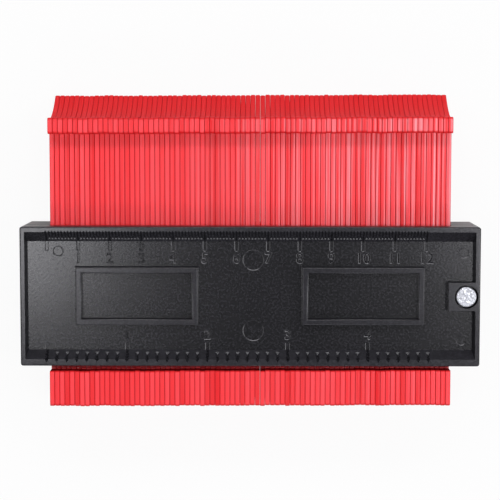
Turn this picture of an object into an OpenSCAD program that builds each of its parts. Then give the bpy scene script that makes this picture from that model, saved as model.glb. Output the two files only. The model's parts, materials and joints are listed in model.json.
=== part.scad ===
// Contour gauge: a stack of thin sliding fingers, held by friction in a body of two moulded shells.
// The gauge lies on its back. X runs along the stack, Y along the fingers and Z out of the front face.
// The origin is the middle of the body's back face. All sizes are in millimetres.

/* [Fingers] */
// Number of fingers in the stack, an even number
finger_count = 80; // [60:2:88]
// Distance from one finger to the next
finger_pitch = 1.5875; // [1.3:0.0125:2.2]
// Gap between the heads of neighbouring fingers
finger_gap = 0.06; // [0.05:0.01:0.14]
// Depth of a finger's stem, from back to front
stem_d = 12.6; // [10:0.1:16]
// Free length of the stems above the body, which is how far a finger pushes in
reach = 29.15; // [20:0.05:40]
// Height of the ridge under the nose
ridge_h = 5.1; // [3.5:0.1:8]
// Height of the nose above the ridge
nose_h = 7; // [5:0.1:10]
// Depth of the flat shelf in front of the nose
shelf_d = 8.6; // [5:0.1:10]
// Hollow of the nose's front face below a straight line
nose_sag = 0.8; // [0.3:0.1:1.4]
// Radius of the nose's tip
tip_r = 0.6; // [0.4:0.1:1]
// Height of the foot below the body
foot_h = 11.3; // [7:0.1:16]
// Gap between the body and the feet at rest, which is how far a finger pulls out
foot_gap = 1.6; // [1.2:0.1:3]
// Corner radius of the feet and the ridges, seen from the side
head_r = 1; // [0.5:0.1:1.6]
// Corner radius of a finger's two ends, seen from the front
finger_r = 0.4; // [0.2:0.05:0.5]
// How far the heads stay behind the body's front and back faces
head_inset = 0.9; // [0.5:0.1:1.5]
// Depth of the relief on each side of a stem
relief_d = 0.03; // [0.02:0.01:0.12]
// Length of full stem left at each end of the relief
relief_land = 1.5; // [0.8:0.1:3]
// Rise of the row of fingers from the left end to the right end
lift_slope = 0.5; // [0:0.05:0.8]
// Unevenness of the row of fingers
lift_spread = 0.15; // [0:0.01:0.2]

/* [Body] */
// Height of the body, along the fingers
body_h = 44.2; // [38:0.2:60]
// Depth of the front shell, from its rim to the seam
front_d = 9; // [8:0.5:11]
// Wall between the finger slot and the floor of the recess or of a back panel
floor_wall = 2.45; // [2:0.05:4]
// Plain wall on each side of the magnet's pocket
end_wall = 0.65; // [0.5:0.05:2]
// Radius of the body's four upright corners
corner_r = 1; // [0.6:0.1:1.4]
// Radius of the edges round the front and back faces
edge_r = 0.5; // [0.3:0.1:0.8]
// Depth of the shadow groove at the seam
seam_groove_d = 0.4; // [0.2:0.1:0.8]
// Height of the shadow groove at the seam
seam_groove_h = 0.6; // [0.3:0.1:1]
// Clearance between a stem and the slot, in front and behind
stem_clear = 0.25; // [0.2:0.05:0.4]
// Clearance between the stack and each end of the slot
stack_clear = 0.3; // [0.2:0.05:0.8]

/* [Front recess] */
// Depth of the recess below the rim
recess_d = 3; // [2.5:0.1:4]
// Width of the rim at the two ends
rim_end = 1.5; // [1:0.1:2.5]
// Width of the rim along the upper edge
rim_upper = 1.7; // [1.2:0.1:2.5]
// Width of the rim along the lower edge
rim_lower = 2.2; // [1.4:0.1:3]
// Slope of the recess's end walls, measured across the floor
end_draft = 0.7; // [0.3:0.1:1.2]
// Width of the upper bevel, which carries the centimetre scale
bevel_upper = 3.15; // [2:0.05:4.5]
// Width of the lower bevel, which carries the inch scale
bevel_lower = 2.65; // [2:0.05:4.5]

/* [Scales] */
// Distance from the stack's left edge out to the zero of both scales
scale_out = 0.8; // [0:0.1:2]
// How much shorter than the stack the scales are
scale_short = 6; // [4:0.5:20]
// Width of a millimetre groove on the upper bevel
mm_groove_w = 0.6; // [0.4:0.05:0.8]
// Width of an eighth-inch groove on the lower bevel
eighth_groove_w = 0.84; // [0.5:0.02:1.2]
// Height above the recess floor where a groove ends
groove_stop = 0.7; // [0.4:0.05:1.2]
// Width of a centimetre or inch tick on the recess floor
tick_w = 1.25; // [0.8:0.05:1.6]
// Length of a centimetre tick
cm_tick_l = 3.2; // [2:0.1:4]
// Length of an inch tick
inch_tick_l = 2.5; // [1.5:0.1:4]
// Depth of a tick
tick_d = 0.25; // [0.15:0.05:0.4]

/* [Frames] */
// Width of a raised frame
frame_w = 38.5; // [28:0.5:42]
// Height of a raised frame
frame_h = 18.2; // [12:0.2:20]
// Width of a frame's rib at its top
frame_rib = 1.75; // [1.2:0.05:3]
// Height of a frame's rib above the recess floor
frame_rise = 2; // [1:0.1:2.8]
// Slope of a frame's walls, measured across the floor
frame_draft = 0.3; // [0.1:0.05:0.6]
// Distance between the middles of the two frames
frame_spacing = 71.5; // [62:0.5:75]

/* [Magnet] */
// Diameter of the magnet disc
magnet_w = 6.6; // [5:0.1:8]
// Thickness of the magnet disc
magnet_t = 3; // [2:0.1:3.5]
// Chamfer round the magnet's face
magnet_chamfer = 0.35; // [0.1:0.05:0.6]
// Clearance round the magnet in its pocket
magnet_clear = 0.4; // [0.1:0.05:0.6]
// Depth of the magnet's face below the rim
magnet_sink = 0.1; // [0.05:0.05:0.5]
// Wall of the boss above and below the pocket
boss_wall = 0.85; // [0.6:0.05:2]
// Length of the boss from the magnet's middle towards the scale
boss_reach = 5.7; // [5:0.1:8]

/* [Back panels] */
// Depth of the two panels cored out of the back
panel_d = 3; // [2:0.1:4]
// Width of the bridge between the panels
bridge_w = 10; // [6:0.5:20]
// Width of the rim above and below the panels
panel_rim = 3; // [2:0.1:6]
// Slope of the panels' walls, measured across the floor
panel_draft = 0.6; // [0.2:0.1:1.2]

/* [Friction pads] */
// Width of a pad, along the fingers
pad_w = 5; // [3:0.1:8]
// Depth of a pad's groove in its shell
pad_bed = 0.8; // [0.5:0.05:1.2]
// Distance from the middle of the body to the middle of a pad
pad_y = 12; // [8:0.5:15]
// Clearance round a pad in its groove
pad_fit = 0.1; // [0.05:0.05:0.3]
// Gap between a pad and the stems
pad_gap = 0.05; // [0.05:0.01:0.1]

/* [Screws] */
// Diameter of a screw's shank
screw_w = 2.9; // [2.2:0.1:3.5]
// Length of a screw under its head
screw_l = 14; // [11:0.5:16]
// Diameter of a screw's head
screw_head_w = 5.5; // [4.5:0.1:6]
// Height of a screw's head
screw_head_h = 2; // [1.4:0.1:2.4]
// Distance from the body's edge to the middle of a screw
screw_inset = 7.1; // [5.5:0.1:9]
// Clearance round a screw's shank
screw_clear = 0.05; // [0.03:0.01:0.2]
// Clearance round a screw's head
screw_head_clear = 0.35; // [0.2:0.05:0.6]
// Plastic left in front of a screw's end
screw_cover = 1.6; // [1.2:0.1:2.5]
// Wall of the hollow ends and of the screw posts
post_wall = 1.4; // [1:0.1:2]

/* [Hidden] */
$fn = 96;
cut = 1;
lift_angle = 137.5;
cross_w = 0.9;
cross_l = 3;
cross_d = 1.1;

// Places along the depth, from the back face
channel_back = panel_d + floor_wall;
stem_back = channel_back + stem_clear;
stem_front = stem_back + stem_d;
channel_front = stem_front + stem_clear;
floor_z = channel_front + floor_wall;
body_d = floor_z + recess_d;
seam_z = body_d - front_d;
head_back = head_inset;
head_front = body_d - head_inset;
head_d = head_front - head_back;

// Places along the stack
stack_w = finger_count * finger_pitch;
channel_w = stack_w + 2 * stack_clear;
pocket_w = magnet_w + 2 * magnet_clear;
end_w = pocket_w + 2 * end_wall;
body_w = channel_w + 2 * end_w;
end_x = (channel_w + end_w) / 2;
finger_t = finger_pitch - finger_gap;
pair_count = finger_count / 2;

// Places along a finger
edge_y = body_h / 2;
ridge_y = edge_y + reach;
shelf_y = ridge_y + ridge_h;
tip_y = shelf_y + nose_h;
foot_top_y = -edge_y - foot_gap;
foot_y = foot_top_y - foot_h;
nose_root = head_front - shelf_d;

// Scales, read from their common zero at the left
inch = 25.4;
eighth = inch / 8;
zero_x = -stack_w / 2 - scale_out;
scale_l = stack_w - scale_short;
cm_count = floor(scale_l / 10);
inch_count = floor(scale_l / inch);
eighth_count = floor(scale_l / eighth);
upper_y = edge_y - rim_upper - bevel_upper;
lower_y = edge_y - rim_lower - bevel_lower;

// Pads and screws
pad_t = pad_bed + stem_clear - pad_gap;
screw_y = edge_y - screw_inset;
screw_end = floor_z - screw_cover;
screw_seat = screw_end - screw_l;
counterbore_w = screw_head_w + 2 * screw_head_clear;
post_w = counterbore_w + 2 * post_wall;
hollow_h = 2 * screw_y - post_w;
hollow_w = end_w - 2 * post_wall;

function pair_name(i) = str("finger_pair_", i < 10 ? "0" : "", i);
function lift(i) = lift_slope * (i / (finger_count - 1) - 0.5) + lift_spread * sin(lift_angle * i * i);
function finger_x(i) = (i - (finger_count - 1) / 2) * finger_pitch;

// Rectangle with round corners, centred
module round_rect(w, h, r) {
    square([w - 2 * r, h], center = true);
    square([w, h - 2 * r], center = true);
    for (x = [-1, 1], y = [-1, 1])
        translate([x * (w / 2 - r), y * (h / 2 - r)])
            circle(r);
}

// Lays an outline of depth and height on its side and extrudes it along X
module along_x(length) {
    rotate([0, -90, 0])
        linear_extrude(length, center = true)
            children();
}

// Stands an outline of width and depth up and extrudes it along Y
module along_y(length) {
    rotate([90, 0, 0])
        linear_extrude(length, center = true)
            children();
}

// Block between two heights, wider than the body
module slab(from, to) {
    translate([-body_w, -body_h, from])
        cube([2 * body_w, 2 * body_h, to - from]);
}

// Outside of the closed body, with its corners and edges rounded
module body_outside() {
    intersection() {
        linear_extrude(body_d)
            round_rect(body_w, body_h, corner_r);
        along_y(body_h + 2 * cut)
            translate([0, body_d / 2])
                round_rect(body_w, body_d, edge_r);
        along_x(body_w + 2 * cut)
            translate([body_d / 2, 0])
                round_rect(body_d, body_h, edge_r);
    }
}

// Four-sided block that widens evenly from its floor to its mouth
module drafted_block(floor_x, floor_y, mouth_x, mouth_y, from, to) {
    intersection() {
        along_y(2 * body_h)
            polygon([[floor_x[0], from], [floor_x[1], from], [mouth_x[1], to], [mouth_x[0], to]]);
        along_x(2 * body_w)
            polygon([[from, floor_y[0]], [from, floor_y[1]], [to, mouth_y[1]], [to, mouth_y[0]]]);
    }
}

// Slot through the body that the stems slide in
module finger_slot() {
    translate([-channel_w / 2, -body_h, channel_back])
        cube([channel_w, 2 * body_h, channel_front - channel_back]);
}

// Hollow front face: sloped end walls, and a bevel above and below for the scales
module front_recess() {
    grow = cut / recess_d;
    end_in = body_w / 2 - rim_end;
    end_floor = end_in - end_draft;
    upper = edge_y - rim_upper;
    lower = edge_y - rim_lower;
    mouth_x = end_in + grow * end_draft;
    drafted_block(
        [-end_floor, end_floor],
        [-lower + bevel_lower, upper - bevel_upper],
        [-mouth_x, mouth_x],
        [-lower - grow * bevel_lower, upper + grow * bevel_upper],
        floor_z,
        body_d + cut
    );
}

// Raised rectangular frame on the recess floor, with sloped walls inside and outside
module raised_frame(x) {
    grow = 1 + cut / frame_rise;
    top_z = floor_z + frame_rise;
    half_w = frame_w / 2;
    half_h = frame_h / 2;
    foot_in = frame_draft * grow;
    translate([x, 0, 0])
        difference() {
            drafted_block(
                [-half_w - foot_in, half_w + foot_in],
                [-half_h - foot_in, half_h + foot_in],
                [-half_w, half_w],
                [-half_h, half_h],
                floor_z - cut,
                top_z
            );
            drafted_block(
                [-half_w + frame_rib + frame_draft, half_w - frame_rib - frame_draft],
                [-half_h + frame_rib + frame_draft, half_h - frame_rib - frame_draft],
                [-half_w + frame_rib - frame_draft, half_w - frame_rib + frame_draft],
                [-half_h + frame_rib - frame_draft, half_h - frame_rib + frame_draft],
                floor_z,
                top_z + frame_rise
            );
        }
}

// V-shaped groove up the slope of the upper (1) or lower (-1) bevel, through the edge of the rim
module bevel_groove(x, side, width) {
    bevel = side > 0 ? bevel_upper : bevel_lower;
    floor_y = side > 0 ? upper_y : lower_y;
    deep = side * width / 2;
    length = norm([bevel, recess_d]) + width;
    translate([x, side * floor_y, floor_z])
        rotate([-side * atan2(bevel, recess_d), 0, 0])
            linear_extrude(length)
                polygon([[0, deep], [width, -deep], [-width, -deep]]);
}

// Sunk tick with a round end, from the foot of a bevel in across the recess floor
module floor_tick(x, side, length) {
    floor_y = side > 0 ? upper_y : lower_y;
    translate([x, side * floor_y, floor_z - tick_d])
        linear_extrude(tick_d + cut)
            mirror([0, side > 0 ? 1 : 0, 0]) {
                translate([-tick_w / 2, 0])
                    square([tick_w, length - tick_w / 2]);
                translate([0, length - tick_w / 2])
                    circle(tick_w / 2);
            }
}

// Millimetre grooves above and eighth-inch grooves below. They end level, above the recess floor,
// and those of the whole centimetres and inches run down into their ticks
module scale_grooves() {
    intersection() {
        slab(floor_z + groove_stop, body_d + cut);
        union() {
            for (i = [0 : 10 * cm_count])
                if (i % 10 != 0)
                    bevel_groove(zero_x + i, 1, mm_groove_w);
            for (i = [0 : eighth_count])
                if (i % 8 != 0)
                    bevel_groove(zero_x + i * eighth, -1, eighth_groove_w);
        }
    }
    for (i = [0 : cm_count])
        bevel_groove(zero_x + 10 * i, 1, mm_groove_w);
    for (i = [0 : inch_count])
        bevel_groove(zero_x + i * inch, -1, eighth_groove_w);
}

// Ticks at the whole centimetres and inches
module scale_ticks() {
    for (i = [0 : cm_count])
        floor_tick(zero_x + 10 * i, 1, cm_tick_l);
    for (i = [0 : inch_count])
        floor_tick(zero_x + i * inch, -1, inch_tick_l);
}

// Boss for the magnet, level with the rim and joined to it
module magnet_boss() {
    left = end_x - boss_reach;
    half_h = pocket_w / 2 + boss_wall;
    translate([left, -half_h, floor_z - cut])
        cube([body_w / 2 - left, 2 * half_h, recess_d + 3 * cut]);
}

// Hollow between the two screw posts of one end
module end_hollow(side, from, to) {
    translate([side * end_x - hollow_w / 2, -hollow_h / 2, from])
        cube([hollow_w, hollow_h, to - from]);
}

// Groove for a friction pad, or the pad itself when it fits with clearance
module pad_strip(y, from, thickness, clearance) {
    translate([-channel_w / 2 + clearance, y - pad_w / 2 - pad_fit + clearance, from])
        cube([channel_w - 2 * clearance, pad_w + 2 * pad_fit - 2 * clearance, thickness]);
}

// Puts a shape at each of the four screws
module at_screws() {
    for (x = [-1, 1], y = [-1, 1])
        translate([x * end_x, y * screw_y, 0])
            children();
}

module front_shell() {
    color("#2c2c2f")
        difference() {
            intersection() {
                body_outside();
                slab(seam_z, body_d + cut);
            }
            finger_slot();
            difference() {
                front_recess();
                raised_frame(-frame_spacing / 2);
                raised_frame(frame_spacing / 2);
                magnet_boss();
            }
            scale_grooves();
            scale_ticks();
            translate([end_x, 0, body_d - magnet_sink - magnet_t])
                cylinder(d = pocket_w, h = magnet_t + magnet_sink + cut);
            for (side = [-1, 1])
                end_hollow(side, seam_z - cut, channel_front);
            for (y = [-pad_y, pad_y])
                pad_strip(y, channel_front - cut, pad_bed + cut, 0);
            at_screws()
                translate([0, 0, seam_z - cut])
                    cylinder(d = screw_w + 2 * screw_clear, h = screw_end + screw_clear - seam_z + cut);
        }
}

// Hollow panel in the back, to the left (-1) or right (1) of the bridge
module back_panel(side) {
    grow = cut / panel_d;
    inner = bridge_w / 2;
    outer = channel_w / 2;
    half_h = edge_y - panel_rim;
    spread = grow * panel_draft;
    middle = side * (inner + outer) / 2;
    half_w = (outer - inner) / 2;
    translate([middle, 0, 0])
        drafted_block(
            [-half_w - spread, half_w + spread],
            [-half_h - spread, half_h + spread],
            [-half_w + panel_draft, half_w - panel_draft],
            [-half_h + panel_draft, half_h - panel_draft],
            -cut,
            panel_d
        );
}

module rear_shell() {
    color("#29292c")
        difference() {
            intersection() {
                body_outside();
                slab(-cut, seam_z);
            }
            finger_slot();
            for (side = [-1, 1])
                back_panel(side);
            for (side = [-1, 1])
                end_hollow(side, channel_back, seam_z + cut);
            for (y = [-pad_y, pad_y])
                pad_strip(y, channel_back - pad_bed, pad_bed + cut, 0);
            at_screws()
                translate([0, 0, -cut])
                    cylinder(d = counterbore_w, h = screw_seat + cut);
            at_screws()
                cylinder(d = screw_w + 2 * screw_clear, h = seam_z + cut);
            difference() {
                slab(seam_z - seam_groove_h, seam_z + cut);
                linear_extrude(body_d)
                    round_rect(body_w - 2 * seam_groove_d, body_h - 2 * seam_groove_d, corner_r);
            }
        }
}

module magnet_disc() {
    color("#d4d6da")
        translate([end_x, 0, body_d - magnet_sink - magnet_t])
            rotate_extrude()
                polygon([
                    [0, 0],
                    [magnet_w / 2, 0],
                    [magnet_w / 2, magnet_t - magnet_chamfer],
                    [magnet_w / 2 - magnet_chamfer, magnet_t],
                    [0, magnet_t]
                ]);
}

module front_pad(y) {
    color("#4a4a4a")
        pad_strip(y, channel_front + pad_bed - pad_t, pad_t, pad_fit);
}

module rear_pad(y) {
    color("#4a4a4a")
        pad_strip(y, channel_back - pad_bed, pad_t, pad_fit);
}

// Self-tapping screw with a domed cross head, seen from the back of the body
module case_screw(x, y) {
    dome_r = (pow(screw_head_w / 2, 2) + pow(screw_head_h, 2)) / (2 * screw_head_h);
    color("#9c9ea3")
        translate([x * end_x, y * screw_y, screw_seat])
            difference() {
                union() {
                    cylinder(d = screw_w, h = screw_l);
                    intersection() {
                        translate([0, 0, -screw_head_h])
                            cylinder(d = screw_head_w, h = screw_head_h);
                        translate([0, 0, dome_r - screw_head_h])
                            sphere(dome_r);
                    }
                }
                for (turn = [0, 90])
                    rotate([0, 0, turn])
                        translate([-cross_l / 2, -cross_w / 2, -screw_head_h - cut])
                            cube([cross_l, cross_w, cross_d + cut]);
            }
}

// Nose of a finger: a hollow slope from the shelf up to a round tip at the back
module nose_outline() {
    tip = [head_back + tip_r, tip_y - tip_r];
    high = tip + tip_r * [cos(45), sin(45)];
    low = [nose_root, shelf_y];
    chord = norm(high - low);
    sag_r = (chord * chord / 4 + nose_sag * nose_sag) / (2 * nose_sag);
    outward = [high[1] - low[1], low[0] - high[0]] / chord;
    difference() {
        polygon([
            [head_back, shelf_y - ridge_h / 2],
            [nose_root, shelf_y - ridge_h / 2],
            low,
            high,
            tip,
            [head_back, tip[1]]
        ]);
        translate((high + low) / 2 + outward * (sag_r - nose_sag))
            circle(sag_r);
    }
    translate(tip)
        circle(tip_r);
}

// Side view of a finger: foot, stem, ridge and nose
module finger_outline() {
    translate([stem_back, foot_y + foot_h / 2])
        square([stem_d, shelf_y - foot_y - foot_h / 2 - ridge_h / 2]);
    translate([(head_back + head_front) / 2, foot_y + foot_h / 2])
        round_rect(head_d, foot_h, head_r);
    translate([(head_back + head_front) / 2, ridge_y + ridge_h / 2])
        round_rect(head_d, ridge_h, head_r);
    nose_outline();
}

// One finger, with its stem relieved on both sides where it stands free above the body
module finger(i) {
    relief_h = reach - 2 * relief_land;
    translate([finger_x(i), lift(i), 0])
        difference() {
            intersection() {
                along_x(finger_t)
                    finger_outline();
                translate([0, (tip_y + foot_y) / 2, -cut])
                    linear_extrude(body_d + 2 * cut)
                        round_rect(finger_t, tip_y - foot_y, finger_r);
            }
            for (side = [-1, 1])
                translate([side * finger_t / 2, edge_y + relief_land + relief_h / 2, body_d / 2])
                    cube([2 * relief_d, relief_h, body_d], center = true);
        }
}

module finger_pair(i) {
    color("#f0343a") {
        finger(2 * i - 2);
        finger(2 * i - 1);
    }
}

front_shell();
rear_shell();
magnet_disc();
front_pad(pad_y);  // front_upper_pad
front_pad(-pad_y);  // front_lower_pad
rear_pad(pad_y);  // rear_upper_pad
rear_pad(-pad_y);  // rear_lower_pad
case_screw(-1, 1);  // case_screw_1
case_screw(1, 1);  // case_screw_2
case_screw(-1, -1);  // case_screw_3
case_screw(1, -1);  // case_screw_4
for (i = [1 : pair_count])
    finger_pair(i);
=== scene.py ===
import json
import math
from collections import namedtuple

import bmesh
import bpy
from bpy.props import FloatProperty, FloatVectorProperty, IntProperty, PointerProperty
from mathutils import Matrix, Vector

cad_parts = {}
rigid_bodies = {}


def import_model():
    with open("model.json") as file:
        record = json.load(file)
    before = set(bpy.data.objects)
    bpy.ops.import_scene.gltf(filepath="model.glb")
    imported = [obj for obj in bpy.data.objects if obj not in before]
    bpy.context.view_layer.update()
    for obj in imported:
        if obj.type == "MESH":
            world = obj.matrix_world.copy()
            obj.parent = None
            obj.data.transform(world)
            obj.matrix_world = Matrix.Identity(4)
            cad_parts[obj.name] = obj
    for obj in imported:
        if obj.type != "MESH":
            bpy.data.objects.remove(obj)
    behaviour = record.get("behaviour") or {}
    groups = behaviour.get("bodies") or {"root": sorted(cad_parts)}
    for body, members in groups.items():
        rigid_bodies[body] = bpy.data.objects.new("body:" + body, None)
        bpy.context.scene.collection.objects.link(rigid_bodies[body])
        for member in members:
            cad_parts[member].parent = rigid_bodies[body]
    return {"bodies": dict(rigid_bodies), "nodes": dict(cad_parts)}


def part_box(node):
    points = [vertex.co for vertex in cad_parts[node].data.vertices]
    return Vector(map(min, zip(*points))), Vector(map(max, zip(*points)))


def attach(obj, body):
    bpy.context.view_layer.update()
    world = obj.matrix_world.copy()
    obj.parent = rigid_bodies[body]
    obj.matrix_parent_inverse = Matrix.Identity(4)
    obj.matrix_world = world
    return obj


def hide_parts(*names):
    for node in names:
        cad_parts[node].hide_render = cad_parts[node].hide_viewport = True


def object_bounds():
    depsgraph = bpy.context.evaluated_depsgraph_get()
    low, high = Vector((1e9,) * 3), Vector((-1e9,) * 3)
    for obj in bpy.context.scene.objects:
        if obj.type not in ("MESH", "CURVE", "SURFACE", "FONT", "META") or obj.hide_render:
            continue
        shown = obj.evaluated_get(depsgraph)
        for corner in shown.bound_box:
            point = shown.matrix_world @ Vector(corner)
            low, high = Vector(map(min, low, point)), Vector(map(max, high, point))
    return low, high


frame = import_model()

bl_info = {
    "name": "Contour Gauge",
    "version": (1, 0, 0),
    "blender": (4, 5, 0),
    "location": "View3D > Sidebar > Contour Gauge",
    "description": "Dresses a contour gauge: moulded fingers, scaled body, magnet, screws and friction foam",
    "category": "Object",
}

MM = 0.001
CAD_BOX = [list(corner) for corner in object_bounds()]
PAIRS = sorted(body for body in frame["bodies"] if body.startswith("finger_pair_"))
SCREWS = sorted(node for node in frame["nodes"] if node.startswith("case_screw_"))
PADS = sorted(node for node in frame["nodes"] if node.endswith("_pad"))
BODY_LOW, BODY_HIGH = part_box("front_shell")

# Points closer than this, in metres, count as one point, and faces that turn less than this as one face
NEAR = 1e-6
FLAT_TURN = math.radians(0.5)

# The same for new cuts, which lie closer together
FINE = 1e-7

# Facets of a curved wall turn by an angle between these at their edges, in degrees, and have less area than this, in
# square metres. An edge that turns more than the last angle stays hard.
CURVE_LEAST, CURVE_MOST = 0.3, 12
FACET_MOST = 15e-6
HARD_TURN = 35

# An edge of the moulded form turns more than this, in degrees, and one between facets less
FORM_TURN = 50


# Colours and small helpers

def linear(hex_colour):
    """Linear RGBA from an sRGB hex value such as "#d9252b"."""
    channels = [int(hex_colour[i:i + 2], 16) / 255 for i in (1, 3, 5)]
    return tuple(c / 12.92 if c <= 0.04045 else ((c + 0.055) / 1.055) ** 2.4 for c in channels) + (1.0,)


def colour_property(name, description, hex_colour):
    return FloatVectorProperty(
        name=name, description=description, default=linear(hex_colour), size=4, subtype="COLOR", min=0, max=1)


def length_property(name, description, millimetres):
    return FloatProperty(
        name=name, description=description, default=millimetres * MM, min=0, unit="LENGTH", precision=5)


def power_property(name, description, watts):
    return FloatProperty(name=name, description=description, default=watts, min=0, subtype="POWER")


def connect(tree, node, links):
    """Gives a node's sockets their values and links. A link is (node, output)."""
    for socket, value in links.items():
        if isinstance(value, tuple) and value and isinstance(value[0], bpy.types.Node):
            tree.links.new(value[0].outputs[value[1]], node.inputs[socket])
        else:
            node.inputs[socket].default_value = value


def add(tree, kind, links=None, **settings):
    """One node with its settings, its socket values and its links."""
    node = tree.nodes.new(kind)
    for key, value in settings.items():
        setattr(node, key, value)
    connect(tree, node, links or {})
    return node


def new_material(name):
    """An empty node material with its Principled shader."""
    material = bpy.data.materials.new(name)
    material.use_nodes = True
    tree = material.node_tree
    return material, tree, tree.nodes["Principled BSDF"]


def merged_copy(node):
    """A welded copy of a CAD node's loose triangles, with its flat faces joined again and no stored normals."""
    mesh = frame["nodes"][node].data.copy()
    drop_normals(mesh)
    built = bmesh.new()
    built.from_mesh(mesh)
    bpy.data.meshes.remove(mesh)
    weld(built)
    return built


def weld(built):
    """Joins doubled points, and the parts of a flat face."""
    bmesh.ops.remove_doubles(built, verts=built.verts, dist=NEAR)
    bmesh.ops.dissolve_limit(built, angle_limit=FLAT_TURN, verts=built.verts, edges=built.edges)


def drop_normals(mesh):
    """Forgets normals that were stored with the mesh."""
    stored = mesh.attributes.get("custom_normal")
    if stored:
        mesh.attributes.remove(stored)


def shade(mesh, degrees):
    """Smooth faces with hard edges where the surface turns more sharply than this."""
    drop_normals(mesh)
    mesh.polygons.foreach_set("use_smooth", [True] * len(mesh.polygons))
    mesh.set_sharp_from_angle(angle=math.radians(degrees))


def applied(piece):
    """The piece's mesh with its modifiers worked in, which are then removed."""
    graph = bpy.context.evaluated_depsgraph_get()
    mesh = bpy.data.meshes.new_from_object(piece.evaluated_get(graph), preserve_all_data_layers=True, depsgraph=graph)
    piece.modifiers.clear()
    return mesh


def even_normals(piece, degrees):
    """Smooths rounded edges and keeps the broad faces between them flat."""
    shade(piece.data, degrees)
    weigh = piece.modifiers.new("weigh", "WEIGHTED_NORMAL")
    weigh.keep_sharp = True
    weigh.weight = 80
    piece.data = applied(piece)


def new_piece(name, built, material, degrees=32):
    """A mesh object at the origin. Without an angle its faces stay flat or smooth as they are marked."""
    mesh = bpy.data.meshes.new(name)
    built.to_mesh(mesh)
    built.free()
    piece = bpy.data.objects.new(name, mesh)
    bpy.context.scene.collection.objects.link(piece)
    mesh.materials.append(material)
    if degrees:
        even_normals(piece, degrees)
    return piece


def settle(piece, body, slot, *nodes):
    """Puts a finished piece on its CAD body in place of its nodes."""
    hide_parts(*nodes)
    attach(piece, body)


def edge_turn(edge):
    """How far the surface turns at an edge, in degrees: positive where it stands out, negative in a corner."""
    if len(edge.link_faces) != 2:
        return 0.0
    turn = math.degrees(edge.calc_face_angle(0.0))
    return turn if edge.is_convex else -turn


def sharper_than(degrees):
    """A test for edges that stand out and turn more than this."""
    return lambda edge: edge_turn(edge) > degrees


def round_edges(built, wanted, width, segments, clamp=True):
    """Rounds the edges that the test picks. The new faces are marked smooth. The clamp narrows every edge where one
    has too little room."""
    edges = [edge for edge in built.edges if wanted(edge)]
    rounded = bmesh.ops.bevel(
        built, geom=edges, offset=width, offset_type="OFFSET", segments=segments, profile=0.5,
        affect="EDGES", clamp_overlap=clamp)
    for face in rounded["faces"]:
        face.smooth = True


def flatten_shading(built):
    """Marks every face flat, apart from the narrow facets of curved walls."""
    for face in built.faces:
        curved = any(CURVE_LEAST < abs(edge_turn(edge)) < CURVE_MOST for edge in face.edges)
        face.smooth = curved and face.calc_area() < FACET_MOST
    for edge in built.edges:
        edge.smooth = abs(edge_turn(edge)) < HARD_TURN


# Sizes and colours that a user would change

class GaugeFingerSettings(bpy.types.PropertyGroup):
    """Moulded fingers."""
    edge: length_property("Edge rounding", "Radius of a finger's moulded long edges", 0.13)
    crown: length_property("Crown", "How far a finger's narrow faces fall off from their moulding line", 0.09)
    segments: IntProperty(name="Edge segments", description="Steps in each rounded edge", default=3, min=1, max=6)
    seed: IntProperty(name="Seed", description="Fixed seed for the fingers' differing shades", default=11, min=0)
    red: colour_property("Red", "Pigment of the fingers", "#dd0b13")
    # Pale red: the painted sheen on the narrow faces, mixed in by each finger's own shade
    pale: colour_property("Pale red", "Pigment where the narrow faces are scuffed", "#ff464d")
    # The colour of the painted highlight lines on the narrow faces
    scuff: colour_property("Scuff", "Whitened lines on the narrow faces", "#ff9da4")
    # Deep red: painted shade on the rounded edges between the fingers
    deep: colour_property("Deep red", "Clean pigment on the rounded edges", "#be030b")
    # The colour of the painted shade band on the stem, just over the foot
    grime: colour_property("Grime", "Soiled band on the stem, just over the foot", "#7c0207")


class GaugeBodySettings(bpy.types.PropertyGroup):
    """Moulded body shells."""
    edge: length_property("Edge rounding", "Radius of the shells' moulded edges", 0.22)
    black: colour_property("Black", "Pigment of the shells", "#141416")
    # The paler black shows the grain and the wear of handling, and also paints highlights on the bevels and on the
    # level tops of raised parts
    worn: colour_property("Worn black", "Pigment where handling has dulled it", "#343338")
    cm_height: length_property("Centimetre figures", "Height of the centimetre figures", 3.4)
    inch_height: length_property("Inch figures", "Height of the inch figures", 3.1)
    scale_zero: length_property("Scale zero", "Distance of both zeros left of the middle", 64.3)
    pin_mark: length_property("Pin mark", "Diameter of the large ejector pin marks", 6.3)
    pin_depth: length_property("Pin depth", "How far the sloping rim of a pin mark is sunk", 0.1)


class GaugeMetalSettings(bpy.types.PropertyGroup):
    """Magnet and screws."""
    nickel: colour_property("Nickel", "Plating of the magnet", "#dcdee3")
    dull_nickel: colour_property("Dull nickel", "Etched patches of the plating", "#b2b4b9")
    zinc: colour_property("Zinc", "Plating of the screws", "#b9bcc0")


class GaugeStageSettings(bpy.types.PropertyGroup):
    """Floor and lights."""
    floor: colour_property("Floor", "Paper under the gauge", "#dcdcdc")
    key: power_property("Key", "Power of the left softbox", 0.98)
    fill: power_property("Fill", "Power of the right softbox", 1.32)
    strip: power_property("Strip", "Power of the low strip lamp", 2.6)
    side: power_property("Sides", "Power of the left side lamp", 2.8)
    top: power_property("Top", "Power of the lamp behind the noses", 5.2)
    world: FloatProperty(name="World", description="Strength of the studio's even light", default=0.06, min=0)


# Materials

# Typical index of refraction of ABS
ABS_IOR = 1.53

# How much of the paper's white is its own where the camera sees it, and where a shiny surface mirrors it
PAPER_SEEN = 0.93
PAPER_MIRRORED = 0.28


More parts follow.
